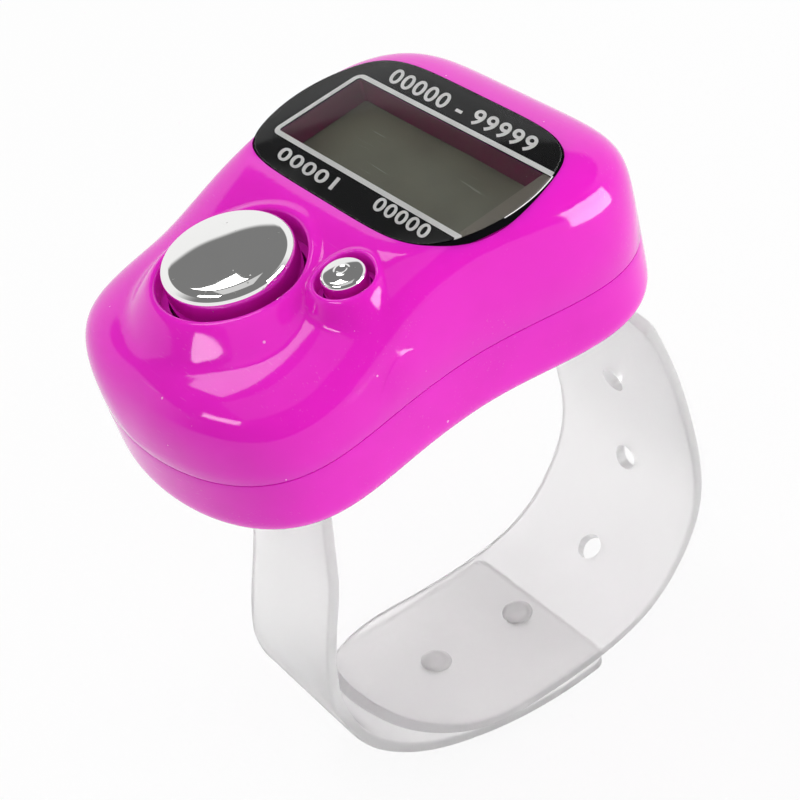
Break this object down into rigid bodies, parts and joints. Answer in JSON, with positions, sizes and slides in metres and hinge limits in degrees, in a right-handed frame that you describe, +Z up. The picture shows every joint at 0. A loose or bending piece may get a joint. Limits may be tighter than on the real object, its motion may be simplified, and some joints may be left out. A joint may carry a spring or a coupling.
{
  "type": "digital tally counter",
  "caption": "Finger-worn digital tally counter: waisted glossy magenta case, domed display, chrome count and reset buttons, milky strap",
  "frame": {"origin": "middle of the case's flat underside, on the battery door's face, where the finger lies", "axes": "+Z up through the display, +Y from the count button towards the display, +X to the right as the display is read"},
  "size_m": [0.0291, 0.0413, 0.0539],
  "materials": {
    "case": "glossy magenta moulding",
    "chrome": "bright chrome plating, polished",
    "lens": "clear, polished",
    "print": "black print under the lens",
    "lcd": "grey-green display glass",
    "film": "thin grey film",
    "zebra": "striped conductive rubber",
    "board": "green solder resist",
    "chip": "black resin",
    "ceramic": "ceramic with tinned ends",
    "steel": "zinc plated",
    "nickel": "nickel plated",
    "dome": "soft moulded rubber",
    "carbon": "carbon filled",
    "strap": "milky translucent, soft, satin"
  },
  "bodies": {
    "case": {"top_shell": "case", "bottom_shell": "case", "case_screw_1": "steel", "case_screw_2": "steel", "case_screw_3": "steel", "display_lens": "lens", "display_mask": "print", "lcd_glass": "lcd", "lcd_front_polariser": "film", "lcd_rear_reflector": "film", "zebra_strip_front": "zebra", "zebra_strip_back": "zebra", "circuit_board": "board", "chip_cover": "chip", "capacitor": "ceramic", "resistor": "chip", "board_screw_1": "steel", "board_screw_2": "steel", "button_cell": "nickel", "battery_contact_positive": "nickel", "battery_contact_negative": "nickel", "count_dome": "dome", "reset_dome": "dome", "strap_stud_half": "strap", "strap_hole_half": "strap"},
    "count_button": {"count_button": "chrome", "count_pill": "carbon"},
    "reset_button": {"reset_button": "chrome", "reset_pill": "carbon"},
    "battery_door": {"battery_door": "case"},
    "battery_door_screw": {"battery_door_screw": "steel"}
  },
  "joints": [
    {"name": "count_press", "type": "slide", "parent": "case", "child": "count_button", "axis": [0, 0, -1], "range_m": [0, 0.00085], "stiffness_N_per_m": 1200, "deforming": ["count_dome"]},
    {"name": "reset_press", "type": "slide", "parent": "case", "child": "reset_button", "axis": [0, 0, -1], "range_m": [0, 0.0006], "stiffness_N_per_m": 900, "deforming": ["reset_dome"]},
    {"name": "door_lift_off", "type": "slide", "parent": "case", "child": "battery_door", "axis": [0, 0, -1], "range_m": [0, 0.008]},
    {"name": "door_screw_out", "type": "slide", "parent": "battery_door", "child": "battery_door_screw", "axis": [0, 0, -1], "range_m": [0, 0.004]}
  ]
}
